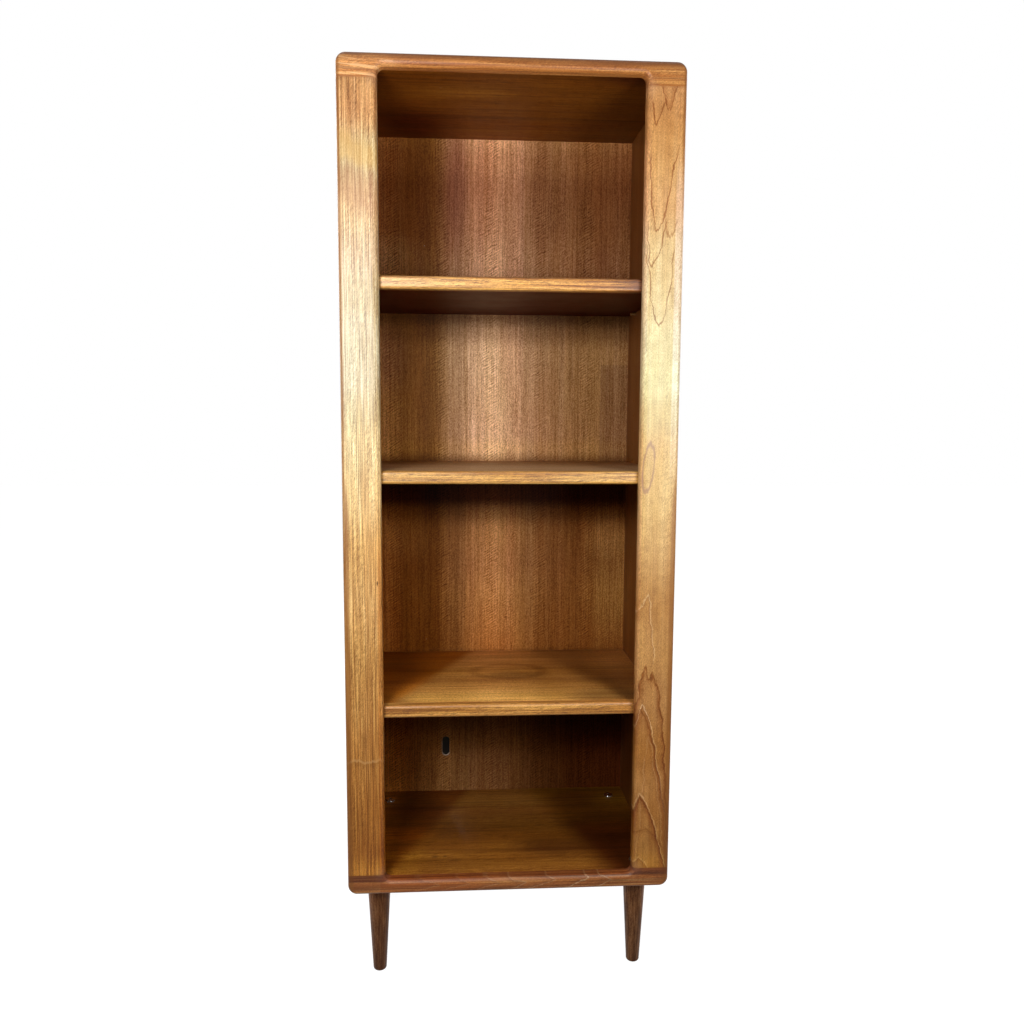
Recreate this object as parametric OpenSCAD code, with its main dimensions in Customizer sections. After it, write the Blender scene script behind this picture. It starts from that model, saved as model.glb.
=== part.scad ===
// Tall bookcase with adjustable shelves: a veneered case behind a solid wood face frame,
// on four turned legs. Front faces -Y, the feet stand on z = 0.

/* [Case] */
// Overall width
case_w = 600; // [480:10:900]
// Height of the case without its legs
case_h = 1490; // [1240:10:1800]
// Overall depth, face frame included
case_d = 420; // [340:10:520]
// Thickness of the side panels
side_t = 15; // [13:1:22]
// Thickness of the top panel
top_t = 15; // [13:1:22]
// Thickness of the bottom panel, which carries the legs
bottom_t = 20; // [16:1:28]
// Radius of the outer corners, seen from the front
corner_r = 17; // [12:1:20]

/* [Back panel] */
// Thickness of the back panel
back_t = 4; // [3:0.5:6]
// Distance from the rear edge of the case to the back panel
back_inset = 8; // [4:1:14]
// Width of the rebate that the back panel sits in
rebate_w = 8; // [6:1:10]
// Gap round the back panel in its rebate
back_gap = 0.5; // [0.2:0.1:1]
// Width of the cable slot
cable_w = 16; // [12:1:30]
// Height of the cable slot
cable_h = 45; // [35:1:70]
// Centre of the cable slot, left of the middle
cable_x = 123; // [40:1:180]
// Centre of the cable slot above the case floor
cable_z = 107; // [40:1:180]

/* [Face frame] */
// Thickness of the face frame
frame_t = 22; // [18:1:28]
// Width of the stiles
stile_w = 68; // [50:1:90]
// Height of the top rail over the opening
top_rail_h = 21; // [20:1:40]
// Height of the bottom rail under the opening
bottom_rail_h = 25; // [22:1:45]
// Straight edge that the top rail keeps below the corners of the opening
top_cap = 9; // [1:1:30]
// Straight edge that the bottom rail keeps above the corners of the opening
bottom_cap = 1; // [1:1:30]
// Corner radius of the frame opening
opening_r = 11; // [6:1:12]
// Rounding of the outer front edge
outer_edge_r = 5; // [2:0.5:7]
// Rounding of the inner front edge
inner_edge_r = 10; // [4:0.5:11]

/* [Shelves] */
// Thickness of the shelves
shelf_t = 23; // [18:1:30]
// Gap between the face frame and the front of a shelf
shelf_front_gap = 2; // [1:0.5:10]
// Gap between each shelf end and the side panel
shelf_side_gap = 1; // [0.5:0.5:3]
// Gap between a shelf and the back panel
shelf_back_gap = 2; // [1:0.5:10]
// Depth of the solid wood lipping
lipping_d = 20; // [12:1:40]
// Rounding of the front edges of the lipping
lipping_r = 5; // [2:0.5:8]
// Thickness of the tongue that holds the lipping
tongue_t = 6; // [4:0.5:9]
// Depth of the tongue
tongue_d = 8; // [5:1:12]

/* [Shelf pins] */
// Spacing of the pin holes up the side panels
hole_pitch = 32; // [25:1:50]
// Radius of the part of a pin inside its hole
pin_r = 2.5; // [2:0.25:3]
// Clearance between a pin and its hole
pin_clearance = 0.05; // [0.02:0.01:0.1]
// Depth of the pin holes
hole_depth = 11; // [8:1:12]
// Radius of the part of a pin that carries the shelf
head_r = 3.5; // [3.25:0.25:5]
// Length of the part of a pin that carries the shelf
head_l = 11; // [8:1:16]
// Height of the flat on top of a pin, above its axis
flat_h = 3; // [2.75:0.25:3]
// Distance of each column of holes from the shelf front and from the back panel
column_inset = 72; // [50:1:100]
// Number of holes round the lower shelf, one above another
lower_count = 3; // [2:1:5]
// Number of holes round the middle shelf, one above another
middle_count = 14; // [9:1:16]
// Number of holes round the upper shelf, one above another
upper_count = 3; // [2:1:5]
// Height of the lowest hole round the lower shelf above the case floor
lower_start = 273; // [200:1:320]
// Height of the lowest hole round the middle shelf above the case floor
middle_start = 482; // [420:1:600]
// Height of the lowest hole round the upper shelf above the case floor
upper_start = 1050; // [960:1:1080]
// Hole that the lower shelf rests at, counted up from zero
lower_used = 1; // [0:1:2]
// Hole that the middle shelf rests at, counted up from zero
middle_used = 8; // [0:1:13]
// Hole that the upper shelf rests at, counted up from zero
upper_used = 1; // [0:1:2]

/* [Legs] */
// Height of the legs
leg_h = 185; // [120:5:240]
// Diameter at the top of a leg
leg_top_d = 45; // [36:1:56]
// Diameter at the foot of a leg
leg_foot_d = 25; // [20:1:34]
// Rounding of the foot
foot_r = 4; // [1:0.5:6]
// Distance from the side of the case to a leg's centre
leg_inset_x = 52; // [40:1:90]
// Distance from the front and the rear of the case to a leg's centre
leg_inset_y = 62; // [45:1:90]

/* [Fixings] */
// Radius of the leg bolts
bolt_r = 4; // [3:0.5:5]
// Radius of a leg bolt's head
bolt_head_r = 11; // [9:0.5:13]
// Height of a leg bolt's head
bolt_head_h = 5; // [3:0.5:7]
// Width across the flats of the bolt's hexagon socket
socket_af = 6; // [4:1:8]
// Depth of the bolt's hexagon socket
socket_depth = 3; // [2:0.5:4]
// Rounding of a leg bolt's head
bolt_round_r = 3.5; // [1:0.5:5]
// How far a leg bolt reaches into its leg
bolt_reach = 24; // [18:1:32]
// Outer radius of the threaded insert in a leg
insert_r = 6.5; // [6:0.25:8]
// Length of the threaded insert
insert_l = 20; // [14:1:26]
// Radius of the dowels between rails and stiles
dowel_r = 4; // [3:0.5:5]
// Distance from each edge of a stile to the centre of a dowel
dowel_inset = 18; // [12:1:20]
// Length of the dowels between rails and stiles
dowel_l = 44; // [36:1:60]
// Radius of the small dowels between face frame and case
pegs_r = 3; // [2:0.5:4]
// Length of the small dowels between face frame and case
pegs_l = 26; // [20:1:30]
// Thickness of the loose tongues in the mitred corners
spline_t = 3; // [2:0.5:4]
// Width of the loose tongues in the mitred corners
spline_w = 9; // [7:1:10]
// Radius of the back panel screws
screw_r = 1.5; // [1.2:0.1:2]
// Length of the back panel screws under the head
screw_l = 16; // [12:1:20]
// Radius of the back panel screws' heads
screw_head_r = 3.2; // [2.5:0.1:4]
// Radius of the flat on top of those heads
screw_crown_r = 1.9; // [1:0.1:2.4]
// Clearance round glued and screwed fixings
fix_clearance = 0.1; // [0.05:0.05:0.2]

/* [Hidden] */
$fn = 64;

teak = "#c58a4a";
veneer = "#8a5524";
walnut = "#4c3425";
beech = "#d9b98a";
steel = "#c9ccd0";
brass = "#b8924a";

// Cutters reach this far past the faces that they cut
past = 1;

half_w = case_w / 2;
front_y = -case_d / 2;
rear_y = case_d / 2;
frame_back_y = front_y + frame_t;
base_z = leg_h;
top_z = base_z + case_h;
floor_z = base_z + bottom_t;
inner_w = half_w - side_t;
back_rear_y = rear_y - back_inset;
back_front_y = back_rear_y - back_t;

// Face frame: half the width of the opening, and the height of each rail at its ends
opening_x = half_w - stile_w;
top_rail_end = top_rail_h + opening_r + top_cap;
bottom_rail_end = bottom_rail_h + opening_r + bottom_cap;

// Shelves
shelf_front_y = frame_back_y + shelf_front_gap;
shelf_rear_y = back_front_y - shelf_back_gap;
shelf_x = inner_w - shelf_side_gap;
board_front_y = shelf_front_y + lipping_d;
columns_y = [shelf_front_y + column_inset, back_front_y - column_inset];
hole_r = pin_r + pin_clearance;
hole_counts = [lower_count, middle_count, upper_count];
group_starts = [lower_start, middle_start, upper_start];
used_hole = [lower_used, middle_used, upper_used];
function hole_z(group, n) = floor_z + group_starts[group] + n * hole_pitch;
function support_z(group) = hole_z(group, used_hole[group]) + flat_h;
// Chamfer at both ends of a pin
pin_tip = 0.8;

// Legs
leg_x = half_w - leg_inset_x;
leg_y = rear_y - leg_inset_y;
leg_places = [[-leg_x, -leg_y], [leg_x, -leg_y], [-leg_x, leg_y], [leg_x, leg_y]];

// Fixings
dowel_y = front_y + frame_t / 2;
dowel_xs = [opening_x + dowel_inset, half_w - dowel_inset];
// Part of a small dowel's length that lies in the face frame
pegs_in_frame = 12;
pegs_per_side = 6;
pegs_per_rail = 3;
// Distance from the end of a side to its first small dowel, and from the opening's corner to a rail's
pegs_side_margin = 120;
pegs_rail_margin = 60;
screws_per_side = 6;
screws_per_end = 3;
// Distance from a corner to the first screw of each row
screws_margin = 40;
screw_head_h = 2;
// Free space past the end of a fixing in its blind hole
end_clearance = 1;
// Distance from the front and the rear of the case to the ends of the loose tongues
spline_margin = 20;

// Evenly spaced places from -reach to reach
function spread(reach, count) = [for (i = [0 : count - 1]) -reach + 2 * reach * i / (count - 1)];

// What has to go to round an edge of radius r that runs up from the origin, wall towards +X +Y
module edge_waste(r) {
    difference() {
        translate([-past, -past]) square(r + past);
        translate([r, r]) circle(r);
    }
}

// Rounded rectangle from a lower left to an upper right corner
module rounded_box_2d(low, high, r) {
    for (x = [low[0] + r, high[0] - r])
        for (y = [low[1] + r, high[1] - r])
            translate([x, y]) circle(r);
    translate([low[0] + r, low[1]]) square([high[0] - low[0] - 2 * r, high[1] - low[1]]);
    translate([low[0], low[1] + r]) square([high[0] - low[0], high[1] - low[1] - 2 * r]);
}

// Stands a flat shape in X and Z up between two depths
module stand(from_y, to_y) {
    translate([0, to_y, 0]) rotate([90, 0, 0]) linear_extrude(to_y - from_y) children();
}

module case_outline() {
    rounded_box_2d([-half_w, base_z], [half_w, top_z], corner_r);
}

// ---- face frame ----

module stile_section() {
    difference() {
        translate([opening_x, front_y]) square([stile_w, frame_t]);
        translate([half_w, front_y]) mirror([1, 0]) edge_waste(outer_edge_r);
        translate([opening_x, front_y]) edge_waste(inner_edge_r);
    }
}

module stile() {
    difference() {
        translate([0, 0, base_z + bottom_rail_end])
            linear_extrude(case_h - bottom_rail_end - top_rail_end) stile_section();
        frame_dowel_holes();
        frame_peg_holes();
    }
}

// Waste along one straight edge that runs in X or Z, from a point, for a length
module straight_waste(edge_r, length) {
    linear_extrude(length) edge_waste(edge_r);
}

// One half of a rail, for x > 0, with z measured from the outer edge inwards
module half_rail(mid_h, end_h) {
    corner_x = opening_x - opening_r;
    corner_z = mid_h + opening_r;
    difference() {
        stand(front_y, frame_back_y) difference() {
            square([half_w, end_h]);
            difference() {
                translate([half_w - corner_r, -past]) square([corner_r + past, corner_r + past]);
                translate([half_w - corner_r, corner_r]) circle(corner_r);
            }
            translate([-past, corner_z]) square([opening_x + past, end_h]);
            translate([-past, mid_h]) square([corner_x + past, end_h]);
            translate([corner_x, corner_z]) circle(opening_r);
        }
        // outer edge: along the rail, round the corner, down the end
        translate([-past, front_y, 0]) rotate([90, 0, 90])
            straight_waste(outer_edge_r, half_w - corner_r + past);
        translate([half_w - corner_r, front_y, corner_r]) mirror([0, 0, 1])
            outer_turn();
        translate([half_w, front_y, corner_r]) mirror([1, 0, 0])
            straight_waste(outer_edge_r, end_h);
        // inner edge: along the rail, round the corner, down to the stile
        translate([-past, front_y, mid_h]) mirror([0, 0, 1]) rotate([90, 0, 90])
            straight_waste(inner_edge_r, corner_x + past);
        translate([corner_x, front_y, corner_z]) mirror([0, 0, 1])
            inner_turn();
        translate([opening_x, front_y, corner_z]) straight_waste(inner_edge_r, end_h);
    }
}

// Waste of the outer corner, centred on the corner's axis, for x > 0 and z > 0
module outer_turn() {
    rotate([90, 0, 0]) mirror([0, 0, 1]) rotate_extrude(angle = 90)
        translate([corner_r, 0]) mirror([1, 0]) edge_waste(outer_edge_r);
}

// Waste of the opening's corner, centred on the corner's axis, for x > 0 and z > 0
module inner_turn() {
    rotate([90, 0, 0]) mirror([0, 0, 1]) rotate_extrude(angle = 90)
        translate([opening_r, 0]) edge_waste(inner_edge_r);
}

module rail(mid_h, end_h) {
    half_rail(mid_h, end_h);
    mirror([1, 0, 0]) half_rail(mid_h, end_h);
}

module frame_dowels_shape(r, l) {
    for (x = dowel_xs)
        for (side = [-1, 1])
            for (z = [base_z + bottom_rail_end, top_z - top_rail_end])
                translate([side * x, dowel_y, z - l / 2]) cylinder(r = r, h = l);
}

module frame_dowel_holes() {
    frame_dowels_shape(dowel_r + fix_clearance, dowel_l + 2 * end_clearance);
}

// Short dowels that run back from the face frame into the case's front edges
module frame_pegs_shape(r, extra) {
    reach_z = case_h / 2 - pegs_side_margin;
    for (z = spread(reach_z, pegs_per_side))
        for (side = [-1, 1])
            peg(side * (half_w - side_t / 2), base_z + case_h / 2 + z, r, extra);
    for (x = spread(opening_x - pegs_rail_margin, pegs_per_rail)) {
        peg(x, top_z - top_t / 2, r, extra);
        peg(x, base_z + bottom_t / 2, r, extra);
    }
}

module peg(x, z, r, extra) {
    translate([x, frame_back_y - pegs_in_frame - extra, z])
        rotate([-90, 0, 0]) cylinder(r = r, h = pegs_l + 2 * extra);
}

module frame_peg_holes() {
    frame_pegs_shape(pegs_r + fix_clearance, end_clearance);
}

module left_stile() { color(teak) mirror([1, 0, 0]) stile(); }

module right_stile() { color(teak) stile(); }

module top_rail() {
    color(teak) difference() {
        translate([0, 0, top_z]) mirror([0, 0, 1]) rail(top_rail_h, top_rail_end);
        frame_dowel_holes();
        frame_peg_holes();
    }
}

module bottom_rail() {
    color(teak) difference() {
        translate([0, 0, base_z]) rail(bottom_rail_h, bottom_rail_end);
        frame_dowel_holes();
        frame_peg_holes();
    }
}

module frame_dowels() { color(beech) frame_dowels_shape(dowel_r, dowel_l); }

module frame_pegs() { color(beech) frame_pegs_shape(pegs_r, 0); }

// ---- case ----

// Flat outline of the right side panel, mitred top and bottom
module side_outline() {
    intersection() {
        polygon([
            [inner_w, floor_z], [half_w, base_z],
            [half_w, top_z], [inner_w, top_z - top_t],
        ]);
        case_outline();
    }
}

module top_outline() {
    intersection() {
        polygon([
            [-half_w, top_z], [-inner_w, top_z - top_t],
            [inner_w, top_z - top_t], [half_w, top_z],
        ]);
        case_outline();
    }
}

module bottom_outline() {
    intersection() {
        polygon([
            [-half_w, base_z], [half_w, base_z],
            [inner_w, floor_z], [-inner_w, floor_z],
        ]);
        case_outline();
    }
}

// Room for the back panel and the open recess behind it
module back_rebate() {
    translate([-inner_w - rebate_w, back_front_y, floor_z - rebate_w])
        cube([2 * (inner_w + rebate_w), back_t + back_inset + past,
              top_z - top_t - floor_z + 2 * rebate_w]);
}

// Loose tongues across the mitres, one for each corner of the case
module splines_shape(thickness, width, extra) {
    for (side = [0, 1])
        mirror([side, 0, 0]) {
            spline([half_w, top_z], [inner_w, top_z - top_t], thickness, width, extra);
            spline([half_w, base_z], [inner_w, floor_z], thickness, width, extra);
        }
}

// A tongue square to the mitre from an outer to an inner corner, at its middle
module spline(outer, inner, thickness, width, extra) {
    middle = (outer + inner) / 2;
    turn = atan2(inner[1] - outer[1], inner[0] - outer[0]);
    from_y = frame_back_y + spline_margin - extra;
    to_y = back_front_y - spline_margin + extra;
    translate([middle[0], to_y, middle[1]]) rotate([90, 0, 0]) rotate([0, 0, turn])
        linear_extrude(to_y - from_y) square([thickness, width], center = true);
}

module spline_grooves() {
    splines_shape(spline_t + 2 * fix_clearance, spline_w + 2 * end_clearance, end_clearance);
}

// Both columns of pin holes in the right side panel
module pin_holes() {
    for (group = [0 : len(hole_counts) - 1])
        for (n = [0 : hole_counts[group] - 1])
            for (y = columns_y)
                translate([inner_w - past, y, hole_z(group, n)])
                    rotate([0, 90, 0]) cylinder(r = hole_r, h = hole_depth + past);
}

module side_panel() {
    difference() {
        stand(frame_back_y, rear_y) side_outline();
        back_rebate();
        pin_holes();
        spline_grooves();
        frame_peg_holes();
        back_screw_holes();
    }
}

module left_side_panel() { color(veneer) mirror([1, 0, 0]) side_panel(); }

module right_side_panel() { color(veneer) side_panel(); }

module top_panel() {
    color(veneer) difference() {
        stand(frame_back_y, rear_y) top_outline();
        back_rebate();
        spline_grooves();
        frame_peg_holes();
        back_screw_holes();
    }
}

module bottom_panel() {
    color(veneer) difference() {
        stand(frame_back_y, rear_y) bottom_outline();
        back_rebate();
        spline_grooves();
        frame_peg_holes();
        back_screw_holes();
        for (place = leg_places)
            translate([place[0], place[1], base_z - past])
                cylinder(r = bolt_r + fix_clearance, h = bottom_t + 2 * past);
    }
}

module corner_splines() { color(beech) splines_shape(spline_t, spline_w, 0); }

module cable_slot_2d() {
    translate([-cable_x, floor_z + cable_z]) {
        for (up = [-1, 1])
            translate([0, up * (cable_h - cable_w) / 2]) circle(d = cable_w);
        square([cable_w, cable_h - cable_w], center = true);
    }
}

module back_panel() {
    panel_x = inner_w + rebate_w - back_gap;
    panel_low = floor_z - rebate_w + back_gap;
    panel_high = top_z - top_t + rebate_w - back_gap;
    color(veneer) difference() {
        stand(back_front_y, back_rear_y) difference() {
            translate([-panel_x, panel_low]) square([2 * panel_x, panel_high - panel_low]);
            cable_slot_2d();
        }
        back_screws_shape(screw_r + fix_clearance, screw_l, 0);
    }
}

// Screws through the edge of the back panel into the shoulder of the rebate
module back_screws_shape(r, length, head) {
    middle_z = (floor_z + top_z - top_t) / 2;
    edge_x = inner_w + rebate_w / 2;
    edge_z = (top_z - top_t - floor_z) / 2 + rebate_w / 2;
    for (side = [-1, 1]) {
        for (z = spread(edge_z - screws_margin, screws_per_side))
            back_screw(side * edge_x, middle_z + z, r, length, head);
        for (x = spread(edge_x - screws_margin, screws_per_end))
            back_screw(x, middle_z + side * edge_z, r, length, head);
    }
}

module back_screw(x, z, r, length, head) {
    translate([x, back_rear_y, z]) rotate([90, 0, 0]) {
        cylinder(r = r, h = length);
        if (head > 0)
            rotate([180, 0, 0]) cylinder(r1 = screw_head_r, r2 = screw_crown_r, h = head);
    }
}

module back_screw_holes() {
    back_screws_shape(screw_r + fix_clearance, screw_l + end_clearance, 0);
}

module back_screws() { color(steel) back_screws_shape(screw_r, screw_l, screw_head_h); }

// ---- shelves ----

// Section of the lipping, depth to the right and height upwards, with the tongue at its back
module lipping_section() {
    difference() {
        square([lipping_d, shelf_t]);
        edge_waste(lipping_r);
        translate([0, shelf_t]) mirror([0, 1]) edge_waste(lipping_r);
    }
    translate([lipping_d - past, (shelf_t - tongue_t) / 2])
        square([tongue_d + past, tongue_t]);
}

// Section of the board, with the groove for the tongue
module board_section() {
    depth = shelf_rear_y - board_front_y;
    groove_t = tongue_t + 2 * fix_clearance;
    difference() {
        square([depth, shelf_t]);
        translate([-past, (shelf_t - groove_t) / 2])
            square([tongue_d + end_clearance + past, groove_t]);
    }
}

// Runs a section through the width of a shelf
module shelf_run(group, from_y) {
    translate([-shelf_x, from_y, support_z(group)])
        rotate([90, 0, 90]) linear_extrude(2 * shelf_x) children();
}

module shelf_lipping(group) {
    color(teak) shelf_run(group, shelf_front_y) lipping_section();
}

module shelf_board(group) {
    color(veneer) shelf_run(group, board_front_y) board_section();
}

// Turned support pin, lying along X with its shoulder at the origin and a flat on top
module pin_turned() {
    shank_l = hole_depth - end_clearance;
    difference() {
        rotate([0, 90, 0]) rotate_extrude() polygon([
            [0, -head_l], [head_r - pin_tip, -head_l], [head_r, pin_tip - head_l], [head_r, 0],
            [pin_r, 0], [pin_r, shank_l - pin_tip], [pin_r - pin_tip, shank_l], [0, shank_l],
        ]);
        translate([-head_l - past, -head_r, flat_h]) cube([head_l + past, 2 * head_r, head_r]);
    }
}

module shelf_pin(group, side, column) {
    color(brass) mirror([side < 0 ? 1 : 0, 0, 0])
        translate([inner_w, columns_y[column], hole_z(group, used_hole[group])]) pin_turned();
}

// ---- legs ----

module leg_section() {
    difference() {
        polygon([
            [0, 0], [leg_foot_d / 2, 0], [leg_top_d / 2, leg_h], [0, leg_h],
        ]);
        translate([leg_foot_d / 2, 0]) mirror([1, 0]) edge_waste(foot_r);
    }
}

module leg(place) {
    color(walnut) translate([place[0], place[1], 0]) difference() {
        rotate_extrude() leg_section();
        translate([0, 0, leg_h - insert_l])
            cylinder(r = insert_r + fix_clearance, h = insert_l + past);
        translate([0, 0, leg_h - bolt_reach - end_clearance])
            cylinder(r = bolt_r + fix_clearance, h = bolt_reach);
    }
}

module leg_inserts() {
    color(brass) for (place = leg_places)
        translate([place[0], place[1], leg_h - insert_l]) difference() {
            cylinder(r = insert_r, h = insert_l);
            translate([0, 0, -past]) cylinder(r = bolt_r + fix_clearance, h = insert_l + 2 * past);
        }
}

module bolt_head_section() {
    round_r = min(bolt_round_r, bolt_head_h);
    difference() {
        square([bolt_head_r, bolt_head_h]);
        translate([bolt_head_r, bolt_head_h]) mirror([1, 0]) mirror([0, 1]) edge_waste(round_r);
    }
}

module leg_bolts() {
    color(steel) for (place = leg_places)
        translate([place[0], place[1], floor_z]) {
            difference() {
                rotate_extrude() bolt_head_section();
                translate([0, 0, bolt_head_h - socket_depth])
                    cylinder(d = socket_af / cos(30), h = socket_depth + past, $fn = 6);
            }
            translate([0, 0, -bottom_t - bolt_reach]) cylinder(r = bolt_r, h = bottom_t + bolt_reach);
        }
}

left_stile();
right_stile();
top_rail();
bottom_rail();
frame_dowels();
frame_pegs();
left_side_panel();
right_side_panel();
top_panel();
bottom_panel();
corner_splines();
back_panel();
back_screws();
shelf_board(0);  // lower_shelf_board
shelf_board(1);  // middle_shelf_board
shelf_board(2);  // upper_shelf_board
shelf_lipping(0);  // lower_shelf_lipping
shelf_lipping(1);  // middle_shelf_lipping
shelf_lipping(2);  // upper_shelf_lipping
shelf_pin(0, -1, 0);  // lower_pin_front_left
shelf_pin(0, -1, 1);  // lower_pin_rear_left
shelf_pin(0, 1, 0);  // lower_pin_front_right
shelf_pin(0, 1, 1);  // lower_pin_rear_right
shelf_pin(1, -1, 0);  // middle_pin_front_left
shelf_pin(1, -1, 1);  // middle_pin_rear_left
shelf_pin(1, 1, 0);  // middle_pin_front_right
shelf_pin(1, 1, 1);  // middle_pin_rear_right
shelf_pin(2, -1, 0);  // upper_pin_front_left
shelf_pin(2, -1, 1);  // upper_pin_rear_left
shelf_pin(2, 1, 0);  // upper_pin_front_right
shelf_pin(2, 1, 1);  // upper_pin_rear_right
leg(leg_places[0]);  // front_left_leg
leg(leg_places[1]);  // front_right_leg
leg(leg_places[2]);  // rear_left_leg
leg(leg_places[3]);  // rear_right_leg
leg_inserts();
leg_bolts();
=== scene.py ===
import math
from functools import partial, reduce

import bmesh
import bpy
from mathutils import Matrix, Vector


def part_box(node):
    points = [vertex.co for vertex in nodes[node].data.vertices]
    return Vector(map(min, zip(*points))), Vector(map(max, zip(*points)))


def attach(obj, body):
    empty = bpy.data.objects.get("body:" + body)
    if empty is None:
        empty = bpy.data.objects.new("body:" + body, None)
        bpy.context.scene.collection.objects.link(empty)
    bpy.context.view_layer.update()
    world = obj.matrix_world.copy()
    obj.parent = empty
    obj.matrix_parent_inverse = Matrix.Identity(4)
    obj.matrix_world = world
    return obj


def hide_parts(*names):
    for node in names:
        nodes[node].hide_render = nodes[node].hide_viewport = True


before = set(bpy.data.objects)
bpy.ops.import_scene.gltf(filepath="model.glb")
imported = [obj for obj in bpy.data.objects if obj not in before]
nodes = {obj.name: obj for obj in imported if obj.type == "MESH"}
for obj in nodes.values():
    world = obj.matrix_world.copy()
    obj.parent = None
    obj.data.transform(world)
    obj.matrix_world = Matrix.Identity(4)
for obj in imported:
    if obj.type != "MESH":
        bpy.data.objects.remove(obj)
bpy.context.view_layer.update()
print("frame loaded,", len(nodes), "nodes")

# short ways to build nodes in the tree that lies on the bench

bench = {}


def plug(node, inputs):
    for key, value in inputs.items():
        if isinstance(value, bpy.types.NodeSocket):
            node.id_data.links.new(value, node.inputs[key])
        else:
            node.inputs[key].default_value = value
    return node


def put(kind, inputs=None, **settings):
    node = bench["tree"].nodes.new(kind)
    for name, value in settings.items():
        setattr(node, name, value)
    return plug(node, inputs or {})


def first(kind, inputs=None, **settings):
    return put(kind, inputs, **settings).outputs[0]


def calc(operation, *values):
    return first("ShaderNodeMath", dict(enumerate(values)), operation=operation)


minus = partial(calc, "SUBTRACT")
over = partial(calc, "DIVIDE")
most = partial(calc, "MAXIMUM")
least = partial(calc, "MINIMUM")
absolute = partial(calc, "ABSOLUTE")


def plus(*values):
    return reduce(partial(calc, "ADD"), values)


def times(*values):
    return reduce(partial(calc, "MULTIPLY"), values)


def diagonal(across, along):
    return calc("SQRT", plus(times(across, across), times(along, along)))


def apart(vector):
    return put("ShaderNodeSeparateXYZ", {0: vector}).outputs


def joined(x, y, z):
    return first("ShaderNodeCombineXYZ", {0: x, 1: y, 2: z})


def vectors(operation, start, other):
    return first("ShaderNodeVectorMath", {0: start, 1: other}, operation=operation)


def lengthOf(vector):
    return put("ShaderNodeVectorMath", {0: vector}, operation="LENGTH").outputs["Value"]


def stretched(vector, x, y, z):
    return vectors("MULTIPLY", vector, joined(x, y, z))


def noise(vector, scale=1.0, detail=2.0, roughness=0.5):
    # three scales stretch the pattern along x, y and z
    if isinstance(scale, tuple):
        vector, scale = stretched(vector, *scale), 1.0
    inputs = {"Vector": vector, "Scale": scale, "Detail": detail, "Roughness": roughness}
    return first("ShaderNodeTexNoise", inputs)


def waver(vector, scale, strength=None, detail=1.0):
    # noise that swings about zero
    swing = minus(noise(vector, scale, detail), 0.5)
    return swing if strength is None else times(swing, strength)


def ease(value, low, high, toLow=0.0, toHigh=1.0):
    inputs = {"Value": value, "From Min": low, "From Max": high, "To Min": toLow, "To Max": toHigh}
    return first("ShaderNodeMapRange", inputs, interpolation_type="SMOOTHSTEP")


def mixed(factor, under, top, blend="MIX"):
    node = put("ShaderNodeMix", data_type="RGBA", blend_type=blend)
    sockets = {0: factor, 6: under, 7: top}
    for slot, value in sockets.items():
        if isinstance(value, tuple):
            sockets[slot] = (*value, 1.0)
    return plug(node, sockets).outputs[2]


def tinted(amount, colour, factors):
    return mixed(amount, colour, factors, "MULTIPLY")


def brightened(colour, amount):
    # wood grows redder as it darkens
    return tinted(1.0, colour, joined(amount, calc("POWER", amount, 1.25), calc("POWER", amount, 1.5)))


def startGroup(name, inputs):
    tree = bpy.data.node_groups.new(name, "ShaderNodeTree")
    bench["tree"] = tree
    for title, value in inputs.items():
        kind = "NodeSocketVector" if isinstance(value, tuple) else "NodeSocketFloat"
        tree.interface.new_socket(title, in_out="INPUT", socket_type=kind).default_value = value
    return list(put("NodeGroupInput").outputs)[:-1]  # the last one is always empty


def finishGroup(outputs):
    tree = bench["tree"]
    for title in outputs:
        tree.interface.new_socket(title, in_out="OUTPUT", socket_type="NodeSocketFloat")
    plug(put("NodeGroupOutput"), outputs)
    return tree


def effect(group, inputs):
    return plug(put("ShaderNodeGroup", node_tree=group), inputs).outputs


def startMaterial(name):
    material = bpy.data.materials.new(name)
    material.use_nodes = True
    bench["tree"] = material.node_tree
    return material, material.node_tree.nodes["Principled BSDF"]


def objectPlace():
    return put("ShaderNodeTexCoord").outputs["Object"]


def paint(names, material):
    for name in names:
        data = nodes[name].data
        for slot in range(len(data.materials)):
            data.materials[slot] = material


# effects that several materials share; their vectors are in metres,
# with X across the grain, Y into the wood and Z along the grain

nowhere = (0.0, 0.0, 0.0)


def makeStreaks():
    vector, width, length, wander = startGroup(
        "streaks", {"Vector": nowhere, "Width": 0.006, "Length": 0.35, "Wander": 0.004})
    x, y, z = apart(vector)
    bent = joined(plus(x, waver(vector, (9, 9, 1.7), wander)), y, z)
    across = over(1.0, width)
    along = over(1.0, length)
    broad = noise(bent, (across, across, along), 1.0)
    fine = stretched(bent, times(across, 2.7), times(across, 2.7), times(along, 1.6))
    thin = noise(fine, 1.0, 2.0, 0.6)
    lines = noise(vectors("ADD", fine, (7.0, 3.0, 5.0)), 1.0, 1.0)
    fibres = noise(bent, (360, 360, 8), 2.0, 0.7)
    stipple = noise(vector, (800, 800, 330), 1.0, 0.6)
    return finishGroup({
        "Tone": ease(plus(times(broad, 0.6), times(thin, 0.4)), 0.33, 0.67),
        "Lines": ease(lines, 0.55, 0.7),
        "Fibres": ease(fibres, 0.25, 0.75),
        "Stipple": ease(stipple, 0.3, 0.7),
    })


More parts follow.
